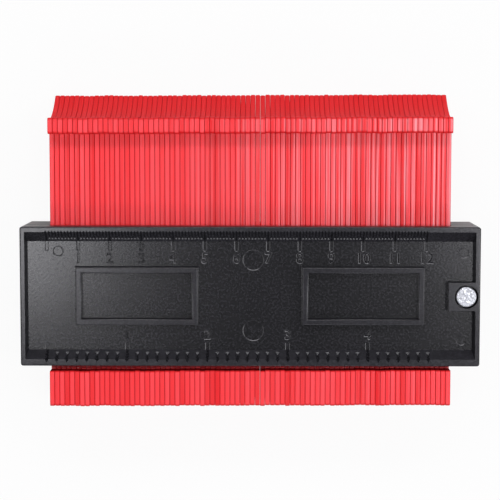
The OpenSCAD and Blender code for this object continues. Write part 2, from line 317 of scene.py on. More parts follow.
def moulded_red_abs():
    """Red ABS, injection moulded and semi-gloss: each finger has its own shade, with faint flow marks along it and
    a fine skin that breaks up the gloss. Its noses and rounded edges are duller. Light and shade are painted on: a
    pale sheen on the narrow faces, pale highlight lines on them that are denser towards the right end, deep red shade
    on the rounded edges between the fingers, and a dark shade band round the stem just over the foot."""
    settings = bpy.context.scene.gauge_fingers
    material, tree, shader = new_material("moulded_red_abs")
    place = add(tree, "ShaderNodeTexCoord")
    shade_of = add(tree, "ShaderNodeAttribute", attribute_name="finger_shade")
    along = add(tree, "ShaderNodeMapping", {"Vector": (place, "Object"), "Scale": (1.0, 0.06, 1.0)})
    flow = add(tree, "ShaderNodeTexNoise", {"Vector": (along, "Vector"), "Scale": 1 / (3.0 * MM), "Detail": 3.0})
    skin = add(tree, "ShaderNodeTexNoise", {"Vector": (place, "Object"), "Scale": 1 / (0.45 * MM), "Detail": 2.0})
    streak = add(tree, "ShaderNodeMath", {0: (flow, "Fac"), 1: 0.55}, operation="MULTIPLY")
    share = add(tree, "ShaderNodeMath", {0: (shade_of, "Fac"), 1: (streak, "Value")}, operation="ADD")
    # Painted sheen: faces that face the front or the back are mixed towards the pale red by each finger's own shade
    # and its flow marks, and other faces by a tenth as much
    facing = add(tree, "ShaderNodeNewGeometry")
    slope = add(tree, "ShaderNodeSeparateXYZ", {"Vector": (facing, "Normal")})
    upright = add(tree, "ShaderNodeMath", {0: (slope, "Z")}, operation="ABSOLUTE")
    sheened = add(tree, "ShaderNodeMapRange", {
        "Value": (upright, "Value"), "From Min": 0.8, "From Max": 0.99})
    rub_and_sheen = add(tree, "ShaderNodeMath", {0: (sheened, "Result"), 1: 0.1}, operation="MAXIMUM")
    worn = add(tree, "ShaderNodeMath", {0: (share, "Value"), 1: (rub_and_sheen, "Value")}, operation="MULTIPLY")
    spread = add(tree, "ShaderNodeMapRange", {
        "Value": (worn, "Value"), "From Min": 0.0, "From Max": 1.2})
    colour = add(tree, "ShaderNodeMix", {
        "Factor": (spread, "Result"), 6: tuple(settings.red), 7: tuple(settings.pale)}, data_type="RGBA")
    lifted = add(tree, "ShaderNodeAttribute", attribute_name="finger_lift")
    parts = add(tree, "ShaderNodeSeparateXYZ", {"Vector": (place, "Object")})
    # Painted highlights: pale lines along the narrow faces, stronger towards the right end, as light from the right
    # would make them, and fading out just over the foot
    drawn = add(tree, "ShaderNodeMapping", {"Vector": (place, "Object"), "Scale": (1.0, 0.012, 0.3)})
    lines = add(tree, "ShaderNodeTexNoise", {"Vector": (drawn, "Vector"), "Scale": 1 / (0.8 * MM), "Detail": 2.0})
    line = add(tree, "ShaderNodeMapRange", {
        "Value": (lines, "Fac"), "From Min": 0.42, "From Max": 0.68})
    right_light = add(tree, "ShaderNodeMapRange", {
        "Value": (parts, "X"), "From Min": -20 * MM, "From Max": 60 * MM, "To Min": 0.07, "To Max": 0.95})
    lined = add(tree, "ShaderNodeMath", {0: (line, "Result"), 1: (right_light, "Result")}, operation="MULTIPLY")
    above = add(tree, "ShaderNodeMapRange", {
        "Value": (parts, "Y"), "From Min": -23 * MM, "From Max": -21 * MM, "To Min": 0.12, "To Max": 1.0})
    drawn_on = add(tree, "ShaderNodeMath", {0: (lined, "Value"), 1: (above, "Result")}, operation="MULTIPLY")
    highlight_share = add(tree, "ShaderNodeMath", {0: (drawn_on, "Value"), 1: (sheened, "Result")}, operation="MULTIPLY")
    pale = add(tree, "ShaderNodeMix", {
        "Factor": (highlight_share, "Value"), 6: (colour, 2), 7: tuple(settings.scuff)}, data_type="RGBA")
    # Painted shade: the rounded side edges, which lie between the fingers, are darkened towards the deep red
    across = add(tree, "ShaderNodeMath", {0: (slope, "X"), 1: (slope, "X")}, operation="MULTIPLY")
    rest = add(tree, "ShaderNodeMath", {0: 1.0, 1: (across, "Value")}, operation="SUBTRACT")
    corner = add(tree, "ShaderNodeMath", {0: (across, "Value"), 1: (rest, "Value")}, operation="MULTIPLY")
    turned = add(tree, "ShaderNodeMapRange", {
        "Value": (corner, "Value"), "From Min": 0.02, "From Max": 0.14, "To Min": 0.0, "To Max": 0.95})
    edged = add(tree, "ShaderNodeMix", {
        "Factor": (turned, "Result"), 6: (pale, 2), 7: tuple(settings.deep)}, data_type="RGBA")
    # Painted shade: a dark band round the stem just over the foot, in the gap under the body, which moves with the
    # finger. The band is also drawn a little glossier.
    own = add(tree, "ShaderNodeMath", {0: (parts, "Y"), 1: (lifted, "Fac")}, operation="SUBTRACT")
    away = add(tree, "ShaderNodeMath", {0: (own, "Value"), 1: foot_top() + 0.8 * MM}, operation="SUBTRACT")
    near = add(tree, "ShaderNodeMath", {0: (away, "Value")}, operation="ABSOLUTE")
    grime = add(tree, "ShaderNodeMapRange", {
        "Value": (near, "Value"), "From Min": 0.35 * MM, "From Max": 0.75 * MM, "To Min": 0.85, "To Max": 0.0})
    shaded = add(tree, "ShaderNodeMix", {
        "Factor": (grime, "Result"), 6: (edged, 2), 7: tuple(settings.grime)}, data_type="RGBA")
    gloss = add(tree, "ShaderNodeMapRange", {
        "Value": (skin, "Fac"), "From Min": 0.3, "From Max": 0.7, "To Min": 0.3, "To Max": 0.4})
    grain = add(tree, "ShaderNodeBump", {"Height": (skin, "Fac"), "Distance": 0.012 * MM, "Strength": 0.6})
    sloped = add(tree, "ShaderNodeMapRange", {
        "Value": (sheened, "Result"), "From Min": 0.0, "From Max": 0.8, "To Min": 0.3, "To Max": 0.0})
    blunt = add(tree, "ShaderNodeMath", {0: (turned, "Result"), 1: 0.5}, operation="MULTIPLY")
    matt = add(tree, "ShaderNodeMath", {0: (sloped, "Result"), 1: (blunt, "Value")}, operation="MAXIMUM")
    band_gloss = add(tree, "ShaderNodeMath", {0: (grime, "Result"), 1: 0.2}, operation="MULTIPLY")
    band_rough = add(tree, "ShaderNodeMath", {0: (gloss, "Result"), 1: (band_gloss, "Value")}, operation="SUBTRACT")
    rough = add(tree, "ShaderNodeMath", {0: (band_rough, "Value"), 1: (matt, "Value")}, operation="ADD")
    connect(tree, shader, {
        "Base Color": (shaded, 2), "Roughness": (rough, "Value"), "Normal": (grain, "Normal"), "IOR": ABS_IOR,
        "Specular IOR Level": 0.3, "Subsurface Weight": 0.3, "Subsurface Radius": (1.0, 0.12, 0.1),
        "Subsurface Scale": 0.5 * MM})
    return material


def moulded_black_abs():
    """Black ABS with the spark-eroded grain of its mould: satin, and a little paler where handling has dulled it.
    Painted highlights make the rim, the other raised tops and the bevels a little paler. The grain is about 0.1 mm
    wide and is drawn coarser, so that it shows."""
    settings = bpy.context.scene.gauge_body
    material, tree, shader = new_material("moulded_black_abs")
    place = add(tree, "ShaderNodeTexCoord")
    grain = add(tree, "ShaderNodeTexNoise", {
        "Vector": (place, "Object"), "Scale": 1 / (0.7 * MM), "Detail": 1.0, "Roughness": 0.6})
    cloud = add(tree, "ShaderNodeTexNoise", {"Vector": (place, "Object"), "Scale": 1 / (18 * MM), "Detail": 4.0})
    parts = add(tree, "ShaderNodeSeparateXYZ", {"Vector": (place, "Object")})
    facing = add(tree, "ShaderNodeNewGeometry")
    slope = add(tree, "ShaderNodeSeparateXYZ", {"Vector": (facing, "Normal")})
    # Painted highlight: the level tops of the rim and of the other raised parts are drawn paler
    level = add(tree, "ShaderNodeMapRange", {
        "Value": (slope, "Z"), "From Min": 0.8, "From Max": 0.97, "To Min": 0.0, "To Max": 0.32})
    high = add(tree, "ShaderNodeMapRange", {
        "Value": (parts, "Z"), "From Min": FLOOR_Z + 1.4 * MM, "From Max": FLOOR_Z + 1.8 * MM})
    raised = add(tree, "ShaderNodeMath", {0: (level, "Result"), 1: (high, "Result")}, operation="MULTIPLY")
    rub_and_sheen = add(tree, "ShaderNodeMapRange", {
        "Value": (cloud, "Fac"), "From Min": 0.35, "From Max": 0.75, "To Min": 0.0, "To Max": 0.14})
    speckle = add(tree, "ShaderNodeMapRange", {
        "Value": (grain, "Fac"), "From Min": 0.42, "From Max": 0.68, "To Min": 0.0, "To Max": 0.37})
    dulled = add(tree, "ShaderNodeMath", {0: (speckle, "Result"), 1: (rub_and_sheen, "Result")}, operation="ADD")
    # Painted highlight: the bevels, which lean towards the top or the bottom, are drawn paler
    tilt = add(tree, "ShaderNodeMath", {0: (slope, "Y"), 1: (slope, "Z")}, operation="MULTIPLY")
    leaning = add(tree, "ShaderNodeMath", {0: (tilt, "Value")}, operation="ABSOLUTE")
    bevelled = add(tree, "ShaderNodeMapRange", {
        "Value": (leaning, "Value"), "From Min": 0.15, "From Max": 0.4, "To Min": 0.0, "To Max": 0.34})
    paler = add(tree, "ShaderNodeMath", {0: (raised, "Value"), 1: (bevelled, "Result")}, operation="ADD")
    worn = add(tree, "ShaderNodeMath", {0: (paler, "Value"), 1: (dulled, "Value")}, operation="ADD", use_clamp=True)
    colour = add(tree, "ShaderNodeMix", {
        "Factor": (worn, "Value"), 6: tuple(settings.black), 7: tuple(settings.worn)}, data_type="RGBA")
    polish = add(tree, "ShaderNodeMath", {0: (raised, "Value"), 1: 0.05}, operation="MULTIPLY")
    gloss = add(tree, "ShaderNodeMapRange", {
        "Value": (grain, "Fac"), "From Min": 0.25, "From Max": 0.75, "To Min": 0.185, "To Max": 0.235})
    upright = add(tree, "ShaderNodeMath", {0: (slope, "Y"), 1: 0.12}, operation="MULTIPLY", use_clamp=True)
    matt = add(tree, "ShaderNodeMath", {0: (polish, "Value"), 1: (upright, "Value")}, operation="ADD")
    rough = add(tree, "ShaderNodeMath", {0: (gloss, "Result"), 1: (matt, "Value")}, operation="ADD")
    bump = add(tree, "ShaderNodeBump", {"Height": (grain, "Fac"), "Distance": 0.014 * MM, "Strength": 0.7})
    connect(tree, shader, {
        "Base Color": (colour, 2), "Roughness": (rough, "Value"), "Normal": (bump, "Normal"), "IOR": ABS_IOR})
    return material


def nickel_plate():
    """Bright nickel plating on a sintered magnet: the coarse blank shows through as a mottle of bright and dull
    patches about half a millimetre wide."""
    settings = bpy.context.scene.gauge_metal
    material, tree, shader = new_material("nickel_plate")
    place = add(tree, "ShaderNodeTexCoord")
    cells = add(tree, "ShaderNodeTexVoronoi", {"Vector": (place, "Object"), "Scale": 1 / (0.75 * MM)})
    fleck = add(tree, "ShaderNodeTexNoise", {"Vector": (place, "Object"), "Scale": 1 / (0.6 * MM), "Detail": 3.0})
    patch = add(tree, "ShaderNodeMapRange", {
        "Value": (fleck, "Fac"), "From Min": 0.38, "From Max": 0.62})
    colour = add(tree, "ShaderNodeMix", {
        "Factor": (patch, "Result"), 6: tuple(settings.dull_nickel), 7: tuple(settings.nickel)}, data_type="RGBA")
    rough = add(tree, "ShaderNodeMapRange", {
        "Value": (fleck, "Fac"), "From Min": 0.3, "From Max": 0.7, "To Min": 0.45, "To Max": 0.25})
    bump = add(tree, "ShaderNodeBump", {"Height": (cells, "Distance"), "Distance": 0.05 * MM, "Strength": 0.7})
    connect(tree, shader, {
        "Base Color": (colour, 2), "Roughness": (rough, "Result"), "Normal": (bump, "Normal"), "Metallic": 1.0})
    return material


def zinc_plated_steel():
    """Zinc-plated steel, barrel polished: pale grey with fine scratches and a soft shine."""
    settings = bpy.context.scene.gauge_metal
    material, tree, shader = new_material("zinc_plated_steel")
    place = add(tree, "ShaderNodeTexCoord")
    scratch = add(tree, "ShaderNodeTexNoise", {"Vector": (place, "Object"), "Scale": 1 / (0.3 * MM), "Detail": 4.0})
    rough = add(tree, "ShaderNodeMapRange", {
        "Value": (scratch, "Fac"), "From Min": 0.3, "From Max": 0.7, "To Min": 0.26, "To Max": 0.46})
    bump = add(tree, "ShaderNodeBump", {"Height": (scratch, "Fac"), "Distance": 0.01 * MM, "Strength": 0.5})
    connect(tree, shader, {
        "Base Color": tuple(settings.zinc), "Roughness": (rough, "Result"), "Normal": (bump, "Normal"),
        "Metallic": 1.0})
    return material


def closed_cell_foam():
    """Charcoal polyethylene foam, cut in strips: dull, with cut cells about half a millimetre wide."""
    material, tree, shader = new_material("closed_cell_foam")
    place = add(tree, "ShaderNodeTexCoord")
    cells = add(tree, "ShaderNodeTexVoronoi", {"Vector": (place, "Object"), "Scale": 1 / (0.5 * MM)})
    colour = add(tree, "ShaderNodeMix", {
        "Factor": (cells, "Distance"), 6: linear("#2b2b2c"), 7: linear("#48484a")}, data_type="RGBA")
    bump = add(tree, "ShaderNodeBump", {"Height": (cells, "Distance"), "Distance": 0.1 * MM, "Strength": 0.8})
    connect(tree, shader, {"Base Color": (colour, 2), "Normal": (bump, "Normal"), "Roughness": 0.9})
    return material


def white_paper():
    """White paper: seen by the camera and by shiny surfaces it is nearly white by itself, and the light on it
    adds the gauge's soft shadow."""
    settings = bpy.context.scene.gauge_stage
    material, tree, shader = new_material("white_paper")
    connect(tree, shader, {"Base Color": tuple(settings.floor), "Roughness": 0.9, "Specular IOR Level": 0.0})
    glow = add(tree, "ShaderNodeEmission", {"Color": (1.0, 1.0, 1.0, 1.0), "Strength": 1.0})
    path = add(tree, "ShaderNodeLightPath")
    seen = add(tree, "ShaderNodeMath", {
        0: (path, "Is Camera Ray"), 1: (path, "Is Transmission Ray")}, operation="MAXIMUM")
    mirrored = add(tree, "ShaderNodeMath", {0: (path, "Is Glossy Ray"), 1: PAPER_MIRRORED}, operation="MULTIPLY")
    clear = add(tree, "ShaderNodeMath", {0: (seen, "Value"), 1: PAPER_SEEN}, operation="MULTIPLY")
    share = add(tree, "ShaderNodeMath", {0: (clear, "Value"), 1: (mirrored, "Value")}, operation="MAXIMUM")
    mixed = add(tree, "ShaderNodeMixShader", {
        0: (share, "Value"), 1: (shader, "BSDF"), 2: (glow, "Emission")})
    connect(tree, tree.nodes["Material Output"], {"Surface": (mixed, "Shader")})
    return material


# Fingers

# The stems' relief is too shallow to see, so the rounded edges run straight past it
RELIEF_MOST = 0.05 * MM

# The fingers are drawn in five variants, so that the stack isn't too even. Where the moulding line lies on each, from
# the finger's middle, and how much thicker than the solid it is drawn, in millimetres. The last leaves a slit.
CROWNS = (-0.42, -0.3, -0.22, -0.12, 0.1)
EXTRAS = (0.03, 0.03, 0.03, 0.03, 0.0)

# Faces that lean less than this towards the front or the back have no crown
CROWNED = 0.3

# Radius of the corner at the front of the solid's foot, and the share of it that is drawn
FOOT_ROUND = 1.0 * MM
FOOT_SHARE = 0.6

# The noses are levelled by this share towards the mean of so many neighbours on either side, and by no more than the
# joints' margin leaves
LEVEL_SHARE = 0.65
LEVEL_NEIGHBOURS = 4
LEVEL_MOST = 0.04 * MM

# How far a finger is off its place along the stack, and how far it leans in it, in radians
PLAY = 0.002 * MM
LEAN = 0.0002


def foot_top():
    """Y of the foot's top on the first finger."""
    mesh = frame["nodes"][PAIRS[0]].data
    middle = sum(vert.co.x for vert in mesh.vertices) / len(mesh.vertices)
    front = max(vert.co.z for vert in mesh.vertices)
    return max(vert.co.y for vert in mesh.vertices
               if vert.co.x < middle and vert.co.y < BODY_LOW.y and vert.co.z > front - 1.01 * FOOT_ROUND)


def finger_master(settings, material, crown_x, extra):
    """One finger with rounded edges, its middle at X 0, taken from the first CAD pair. Its narrow faces fall off a
    little from a moulding line at crown_x, so that it stays inside its solid."""
    built = merged_copy(PAIRS[0])
    middle = sum(vert.co.x for vert in built.verts) / len(built.verts)
    bmesh.ops.delete(built, geom=[vert for vert in built.verts if vert.co.x > middle], context="VERTS")
    low = min(vert.co.x for vert in built.verts)
    high = max(vert.co.x for vert in built.verts)
    bmesh.ops.translate(built, vec=Vector((-(low + high) / 2, 0, 0)), verts=built.verts)
    plain = (high - low) / 2
    half = plain + extra / 2
    for vert in built.verts:
        if plain - abs(vert.co.x) < RELIEF_MOST:
            vert.co.x = math.copysign(half, vert.co.x)
    weld(built)
    sharpen_foot(built)
    cut_at(built, Vector((crown_x, 0, 0)), Vector((1, 0, 0)))
    for vert in built.verts:
        facing = max((face.normal.z for face in vert.link_faces), key=abs)
        if abs(vert.co.x - crown_x) > NEAR and abs(facing) > CROWNED:
            vert.co.z -= math.copysign(settings.crown, facing)

    def long_edge(edge):
        on_side = all(abs(abs(vert.co.x) - half) < NEAR for vert in edge.verts)
        return on_side and edge_turn(edge) > FORM_TURN

    round_edges(built, long_edge, settings.edge, settings.segments, clamp=False)
    return new_piece("finger_master", built, material, degrees=40)


def sharpen_foot(built):
    """Draws the rounded corner at the front of the foot's top with a smaller radius."""
    front = max(vert.co.z for vert in built.verts)
    foot = [vert for vert in built.verts if vert.co.y < BODY_LOW.y and vert.co.z > front - 1.01 * FOOT_ROUND]
    top = max(vert.co.y for vert in foot)
    small = FOOT_SHARE * FOOT_ROUND
    old = Vector((0, top - FOOT_ROUND, front - FOOT_ROUND))
    new = Vector((0, top - small, front - small))
    for vert in foot:
        if vert.co.y > old.y - NEAR:
            vert.co.y, vert.co.z = (new + FOOT_SHARE * (vert.co - old)).yz


def cut_at(built, place, normal):
    """Adds edges where a plane passes through the mesh."""
    bmesh.ops.bisect_plane(
        built, geom=built.verts[:] + built.edges[:] + built.faces[:], dist=FINE, plane_co=place, plane_no=normal)


def finger_halves(node):
    """Middle X and lowest Y of the two fingers in a CAD pair, left one first."""
    co = [vert.co for vert in frame["nodes"][node].data.vertices]
    middle = (min(p.x for p in co) + max(p.x for p in co)) / 2
    halves = []
    for side in (-1, 1):
        own = [p for p in co if (p.x - middle) * side > 0]
        halves.append(((min(p.x for p in own) + max(p.x for p in own)) / 2, min(p.y for p in own)))
    return halves


def finger_places():
    """Middle X and lowest Y of both fingers for each CAD pair. The noses are drawn more level than the solids."""
    places = [place for pair in PAIRS for place in finger_halves(pair)]
    level = []
    for number, (x, y) in enumerate(places):
        near = [place[1] for place in places[max(0, number - LEVEL_NEIGHBOURS):number + LEVEL_NEIGHBOURS + 1]]
        mean = sum(near) / len(near)
        shift = LEVEL_SHARE * (mean - y)
        level.append((x, y + max(-LEVEL_MOST, min(LEVEL_MOST, shift))))
    return list(zip(level[::2], level[1::2]))


def finger_tree(masters, material):
    """Sets one finger at each end of a line, of any variant and with a shade of its own: inputs for the two places
    and the seed."""
    tree = bpy.data.node_groups.new("finger_pair_tree", "GeometryNodeTree")
    tree.interface.new_socket("Geometry", in_out="OUTPUT", socket_type="NodeSocketGeometry")
    for name, kind in (
            ("First place", "NodeSocketVector"), ("Second place", "NodeSocketVector"), ("Seed", "NodeSocketInt")):
        tree.interface.new_socket(name, in_out="INPUT", socket_type=kind)
    given = add(tree, "NodeGroupInput")
    line = add(tree, "GeometryNodeMeshLine", {
        "Count": 2, "Start Location": (given, "First place"), "Offset": (given, "Second place")},
        mode="END_POINTS")
    tone = add(tree, "FunctionNodeRandomValue", {"Seed": (given, "Seed")}, data_type="FLOAT")
    toned = add(tree, "GeometryNodeStoreNamedAttribute", {
        "Geometry": (line, "Mesh"), "Name": "finger_shade", "Value": (tone, "Value")},
        data_type="FLOAT", domain="POINT")
    spot = add(tree, "GeometryNodeInputPosition")
    parts = add(tree, "ShaderNodeSeparateXYZ", {"Vector": (spot, "Position")})
    lifted = add(tree, "GeometryNodeStoreNamedAttribute", {
        "Geometry": (toned, "Geometry"), "Name": "finger_lift", "Value": (parts, "Y")},
        data_type="FLOAT", domain="POINT")
    variants = add(tree, "GeometryNodeJoinGeometry")
    for master in masters:
        source = add(tree, "GeometryNodeObjectInfo", {"Object": master, "As Instance": True})
        tree.links.new(source.outputs["Geometry"], variants.inputs["Geometry"])
    variant = add(tree, "FunctionNodeRandomValue", {
        "Seed": (given, "Seed"), 4: 0, 5: len(masters) - 1}, data_type="INT")
    play = add(tree, "FunctionNodeRandomValue", {
        "Seed": (given, "Seed"), 0: (-PLAY, 0.0, 0.0), 1: (PLAY, 0.0, 0.0)}, data_type="FLOAT_VECTOR")
    loose = add(tree, "GeometryNodeSetPosition", {"Geometry": (lifted, "Geometry"), "Offset": (play, "Value")})
    lean = add(tree, "FunctionNodeRandomValue", {
        "Seed": (given, "Seed"), 0: (0.0, -LEAN, 0.0), 1: (0.0, LEAN, 0.0)}, data_type="FLOAT_VECTOR")
    set_out = add(tree, "GeometryNodeInstanceOnPoints", {
        "Points": (loose, "Geometry"), "Instance": (variants, "Geometry"), "Pick Instance": True,
        "Instance Index": (variant, 2), "Rotation": (lean, "Value")})
    real = add(tree, "GeometryNodeRealizeInstances", {"Geometry": (set_out, "Instances")})
    coated = add(tree, "GeometryNodeSetMaterial", {"Geometry": (real, "Geometry"), "Material": material})
    add(tree, "NodeGroupOutput", {"Geometry": (coated, "Geometry")})
    return tree


class GAUGE_OT_fingers(bpy.types.Operator):
    """Build the stack of fingers, two to each sliding body"""
    bl_idname = "gauge.fingers"
    bl_label = "Fingers"

    def execute(self, context):
        settings = context.scene.gauge_fingers
        material = moulded_red_abs()
        masters = [finger_master(settings, material, x * MM, extra * MM) for x, extra in zip(CROWNS, EXTRAS)]
        base = min(vert.co.y for vert in masters[0].data.vertices)
        tree = finger_tree(masters, material)
        sockets = {item.name: item.identifier for item in tree.interface.items_tree if item.in_out == "INPUT"}
        for number, (pair, places) in enumerate(zip(PAIRS, finger_places())):
            carrier = bpy.data.objects.new(pair + "_carrier", bpy.data.meshes.new(pair + "_carrier"))
            context.scene.collection.objects.link(carrier)
            maker = carrier.modifiers.new("fingers", "NODES")
            maker.node_group = tree
            first, second = ((x, y - base, 0.0) for x, y in places)
            maker[sockets["First place"]] = first
            maker[sockets["Second place"]] = second
            maker[sockets["Seed"]] = settings.seed + number
            mesh = applied(carrier)
            bpy.data.objects.remove(carrier)
            mesh.name = "fingers_" + pair[-2:]
            if not mesh.polygons:
                raise RuntimeError("no fingers were made for " + pair)
            piece = bpy.data.objects.new("fingers_" + pair[-2:], mesh)
            context.scene.collection.objects.link(piece)
            settle(piece, pair, "finger_plastic", pair)
        for master in masters:
            bpy.data.objects.remove(master)
        return {"FINISHED"}


# Body

# Height of the font's figures as a share of its size
FIGURE_CAP = 0.72

# A figure's wall: its level over the recess floor, how far its outline is drawn in and how far it slopes out, in
# millimetres, and how much it rises for that. The core is drawn in so far that every figure's mesh is closed.
SLOPED_FIGURE = (0.0, 0.12, 0.27, 0.53)
FIGURE_CORE = (-0.08, 0.205, 0.185, 1.5)
STEEP_FIGURE = (0.02, 0.12, 0.2, 1.8)

# How far cutters stand over the recess floor, and how far ticks reach into the bevel beside it
PROUD = 0.05 * MM
OVERLAP = 0.02 * MM

# Height over the recess floor and distance out from the sunk floor's outline, in millimetres: over a steep step the
# wall slopes by 28 degrees, which turns it to a lamp on every side
SUNK_WALL = ((-0.37, 0.0), (-0.106, 0.12), (0.05, 0.413))
STEEP_WALL = ((-0.5, 0.0), (-0.106, 0.2), (0.05, 0.28))

# Steps round the end of a tick
TICK_STEPS = 12

# How far the rim of a pin mark slopes out for its rise, and the step under it for its depth
RIM_RUN = 1.88
STEP_RUN = 0.6

# Ejector pin marks: middle in millimetres, radius as a share of the large marks', and depth of the step under the rim
PIN_MARKS = (
    (1.0, 11.35, 1.0, 0.14), (1.0, -11.1, 1.0, 0.14), (-60.7, 14.1, 0.5, 0.32), (67.5, 13.7, 0.5, 0.14),
    (67.0, -14.0, 0.5, 0.14))

# The scales run along the upper (1) and the lower (-1) bevel. Pitch is in millimetres, base is the foot of the
# figures, and tick and plug are half the width and the length of a sunk tick and of the block that first fills the
# solid's plain one. Steep walls mirror no lamp, and so make those marks dark that are dark in the photo.
Scale = namedtuple("Scale", "side pitch last base tick plug steep_ticks steep_figures")
CM_SCALE = Scale(
    side=1, pitch=10, last=12, base=10.35 * MM, tick=(0.34 * MM, 3.0 * MM), plug=(0.7 * MM, 3.3 * MM),
    steep_ticks=(1, 2, 3), steep_figures=(1, 2, 3))
INCH_SCALE = Scale(
    side=-1, pitch=25.4, last=4, base=-13.9 * MM, tick=(0.42 * MM, 2.3 * MM), plug=(0.7 * MM, 2.6 * MM),
    steep_ticks=(), steep_figures=(1,))

# How far a plug reaches down from the recess floor
PLUG_DEPTH = 0.5 * MM

# Scale grooves on the upper (1) and lower (-1) bevel: how many times wider they get where they meet the rim, and in
# millimetres how much further they reach into it, and run and rise of the small facet at the foot
GROOVES = ((1, 1.12, 0.05, 0.5, 0.21), (-1, 1.5, 0.42, 0.9, 0.40))

# Height of that facet over the recess floor, the most that half a groove measures, and the least step across it
GROOVE_FOOT = 0.7 * MM
GROOVE_HALF = 0.6 * MM
GROOVE_STEP = 1e-5

# Faces that turn up more than this are level, and those that turn sideways more than this are walls of a groove
LEVEL_UP = 0.999
WALL_ACROSS = 0.2

# The frames and the boss lie within this distance of the middle line and rise over this height of the recess floor,
# the boss to the right of this place. Their edges turn more than this, in degrees.
RAISED_WITHIN = 9.6 * MM
RAISED_OVER = 0.1 * MM
BOSS_FROM = 58 * MM
RAISED_TURN = 45

# Rounding of the frames and of the rear shell, as a share of the shells' edge rounding
FRAME_ROUNDING = 1.3
REAR_ROUNDING = 0.8

# A shell with fewer faces than this has been lost
SHELL_LEAST = 100


def figure_mesh(text, height, middle, base, level, inset, run, rise):
    """A solid figure, centred on X, whose outline narrows by its run above and below its level."""
    curve = bpy.data.curves.new("figure", "FONT")
    curve.body = text
    curve.align_x = "CENTER"
    curve.size = height / FIGURE_CAP
    curve.offset = -inset * MM
    curve.extrude = 0.005 * MM
    curve.bevel_depth = run * MM
    curve.bevel_resolution = 0
    curve.resolution_u = 4
    holder = bpy.data.objects.new("figure", curve)
    bpy.context.scene.collection.objects.link(holder)
    graph = bpy.context.evaluated_depsgraph_get()
    mesh = bpy.data.meshes.new_from_object(holder.evaluated_get(graph), depsgraph=graph)
    bpy.data.objects.remove(holder)
    place = Vector((middle, base, FLOOR_Z + level * MM))
    mesh.transform(Matrix.Translation(place) @ Matrix.Diagonal((1, 1, rise, 1)))
    return mesh


def figure_cutters(text, height, middle, base, steep):
    """A stroke with walls that slope like those of the ticks and a steep core, or with steep walls alone."""
    walls = (STEEP_FIGURE,) if steep else (SLOPED_FIGURE, FIGURE_CORE)
    return [figure_mesh(text, height, middle, base, *wall) for wall in walls]


def lofted(rings):
    """A closed solid through rings of equally many points, lowest ring first."""
    built = bmesh.new()
    loops = [[built.verts.new(point) for point in ring] for ring in rings]
    count = len(loops[0])
    for lower, upper in zip(loops, loops[1:]):
        for i in range(count):
            j = (i + 1) % count
            built.faces.new((lower[i], lower[j], upper[j], upper[i]))
    built.faces.new(loops[0])
    built.faces.new(loops[-1])
    bmesh.ops.recalc_face_normals(built, faces=built.faces)
    mesh = bpy.data.meshes.new("cutter")
    built.to_mesh(mesh)
    built.free()
    return mesh


def tick_cutter(x, side, half, length, wall):
    """A round-ended tick from the foot of the upper (1) or lower (-1) bevel in across the recess floor."""
    foot = foot_y(side)
    rings = []
    for rise, out in wall:
        reach = half + out * MM
        points = [(-reach, -OVERLAP)]
        for step in range(TICK_STEPS + 1):
            angle = math.pi * (1 - step / TICK_STEPS)
            points.append((reach * math.cos(angle), length - half + reach * math.sin(angle)))
        points.append((reach, -OVERLAP))
        rings.append([(x + across, foot - side * inward, FLOOR_Z + rise * MM) for across, inward in points])
    return lofted(rings)


def pin_cutter(x, y, radius, depth, step, sides=48):
    """A shallow disc with a flared edge over a steep step."""
    rings = []
    for rise, out in ((-depth - step, -STEP_RUN * step), (-depth, 0.0), (PROUD, (depth + PROUD) * RIM_RUN)):
        reach = radius + out
        rings.append([(
            x + reach * math.cos(2 * math.pi * i / sides), y + reach * math.sin(2 * math.pi * i / sides),
            FLOOR_Z + rise) for i in range(sides)])
    return lofted(rings)


def recess_floor():
    """Height of the recess floor: the flat level with the most face area between the slot and the rim."""
    areas = {}
    mesh = frame["nodes"]["front_shell"].data
    for face in mesh.polygons:
        if face.normal.z > LEVEL_UP:
            level = round(face.center.z, 5)
            areas[level] = areas.get(level, 0.0) + face.area
    return max(areas, key=areas.get)


FLOOR_Z = recess_floor()


def foot_y(side):
    """Where the upper (1) or lower (-1) bevel meets the recess floor."""
    mesh = frame["nodes"]["front_shell"].data
    level = [vert.co.y for vert in mesh.vertices if abs(vert.co.z - FLOOR_Z) < NEAR]
    return max(level) if side > 0 else min(level)


def tick_plug(x, side, half, length):
    """A block that fills a plain tick level with the recess floor."""
    foot = foot_y(side)
    corners = ((x - half, foot), (x + half, foot), (x + half, foot - side * length), (x - half, foot - side * length))
    return lofted([[(*corner, level) for corner in corners] for level in (FLOOR_Z - PLUG_DEPTH, FLOOR_Z)])


def shape_grooves(built):
    """Widens the scale grooves where they meet the rim and tilts the small facet at the foot of each, so that it
    faces a lamp: towards -Y on the upper bevel and towards +Y on the lower one."""
    top = BODY_HIGH.z
    stop = FLOOR_Z + GROOVE_FOOT
    moved = []
    for side, wide, deep, run, rise in GROOVES:
        for vert in [v for v in built.verts if v.co.y * side > 0]:
            ends = [edge.other_vert(vert) for edge in vert.link_edges]
            level = [v for v in ends if abs(v.co.z - vert.co.z) < NEAR
                     and v.co.y * side < vert.co.y * side - GROOVE_STEP
                     and GROOVE_STEP < abs(v.co.x - vert.co.x) < GROOVE_HALF]
            if len(level) != 2:
                continue
            if abs(vert.co.z - stop) > NEAR and abs(vert.co.z - top) > NEAR:
                continue
            moved.append(vert)
            for rim in level:
                rim.co.x = vert.co.x + (rim.co.x - vert.co.x) * wide
            if abs(vert.co.z - top) < NEAR:
                vert.co.y += side * deep * MM
            else:
                vert.co.y = level[0].co.y + side * run * MM
                vert.co.z += rise * MM
    # A dictionary keeps the walls in the same order each run
    walls = dict.fromkeys(face for vert in moved for face in vert.link_faces if abs(face.normal.x) > WALL_ACROSS)
    bmesh.ops.triangulate(built, faces=list(walls))


